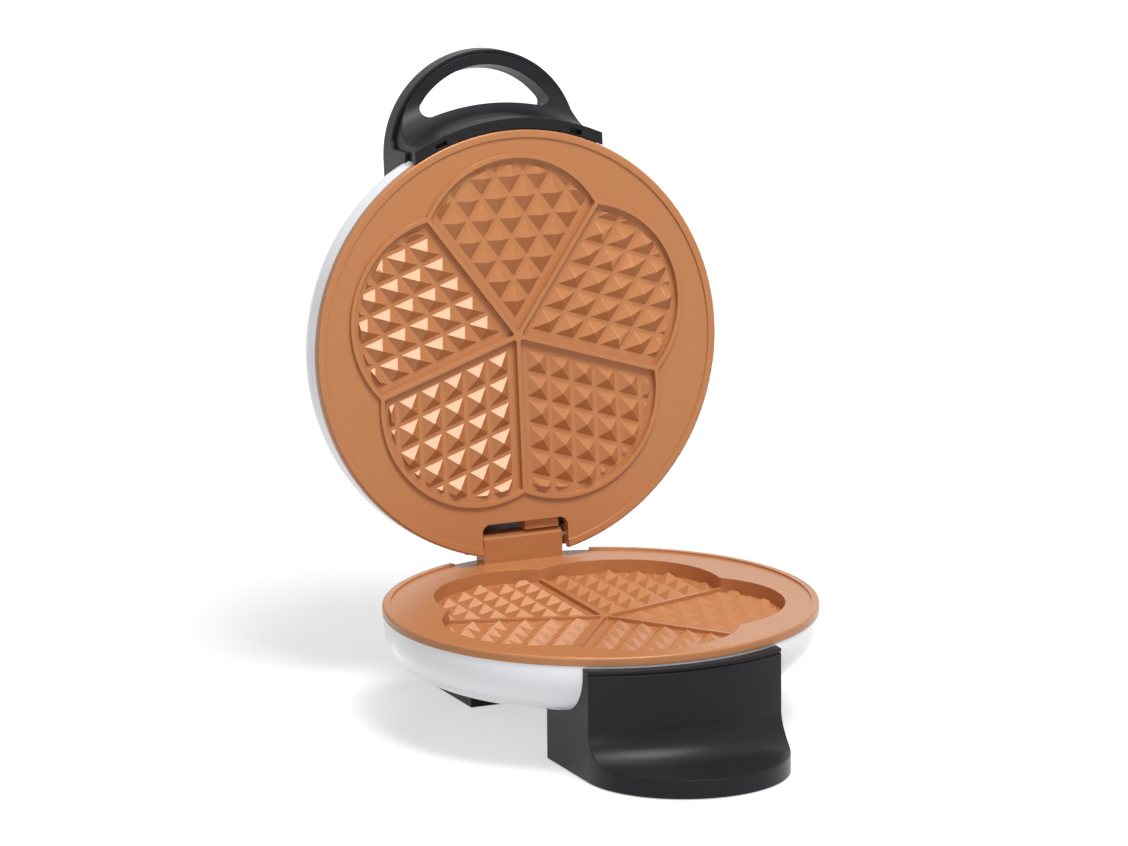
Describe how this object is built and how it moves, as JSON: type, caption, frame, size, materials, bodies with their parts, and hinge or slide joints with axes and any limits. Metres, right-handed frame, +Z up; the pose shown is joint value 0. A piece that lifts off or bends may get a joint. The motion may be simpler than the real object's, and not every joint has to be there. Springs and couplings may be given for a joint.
{
  "type": "electric waffle maker",
  "caption": "Electric waffle maker with a hinged lid, copper-coloured petal-shaped moulds with pyramid grids, a finger-loop lid handle and a black base grip that is also the front foot.",
  "frame": {"origin": "on the table, under the common axis of the two round plates, which is the middle of the whole box within 2.1 mm", "axes": "+Z up; -Y is the front, where both grips are; +X is to the right of a person at the front; the lid is stored open on its stop"},
  "size_m": [0.2, 0.286, 0.2889],
  "materials": {
    "copper_coat": "cast plate with a satin copper-coloured non-stick coat",
    "white_shell": "glossy white moulding, very slightly blue",
    "black_grip": "satin black phenolic moulding",
    "pad_rubber": "matt rubber",
    "plain_steel": "zinc-plated steel",
    "heater_steel": "dull heater sheath",
    "shield_sheet": "pressed sheet",
    "block_white": "unglazed ceramic look",
    "lens_red": "clear tinted lens",
    "lens_green": "clear tinted lens"
  },
  "bodies": {
    "base": {"lower_plate": "copper_coat", "lower_heater": "heater_steel", "lower_shield": "shield_sheet", "thermostat": "plain_steel", "thermal_fuse": "plain_steel", "lower_shell": "white_shell", "terminal_block": "block_white", "cord_gland": "black_grip", "base_screw_1": "plain_steel", "base_screw_2": "plain_steel", "base_screw_3": "plain_steel", "base_screw_4": "plain_steel", "front_grip": "black_grip", "grip_lip": "black_grip", "grip_screw_1": "plain_steel", "grip_screw_2": "plain_steel", "front_pad": "pad_rubber", "rear_foot": "black_grip", "heel_screw_1": "plain_steel", "heel_screw_2": "plain_steel", "rear_pad": "pad_rubber", "hinge_pin": "plain_steel", "hinge_clip_1": "plain_steel", "hinge_clip_2": "plain_steel"},
    "lid": {"upper_plate": "copper_coat", "upper_heater": "heater_steel", "upper_shield": "shield_sheet", "upper_shell": "white_shell", "shell_screw_1": "plain_steel", "shell_screw_2": "plain_steel", "shell_screw_3": "plain_steel", "shell_screw_4": "plain_steel", "power_lens": "lens_red", "ready_lens": "lens_green", "handle_band": "black_grip", "handle_face": "black_grip", "handle_cover": "black_grip", "handle_screw_1": "plain_steel", "handle_screw_2": "plain_steel"}
  },
  "joints": [
    {"name": "lid_hinge", "type": "hinge", "parent": "base", "child": "lid", "pos_m": [0, 0.0922, 0.0654], "axis": [1, 0, 0], "range_deg": [0, 95]}
  ]
}
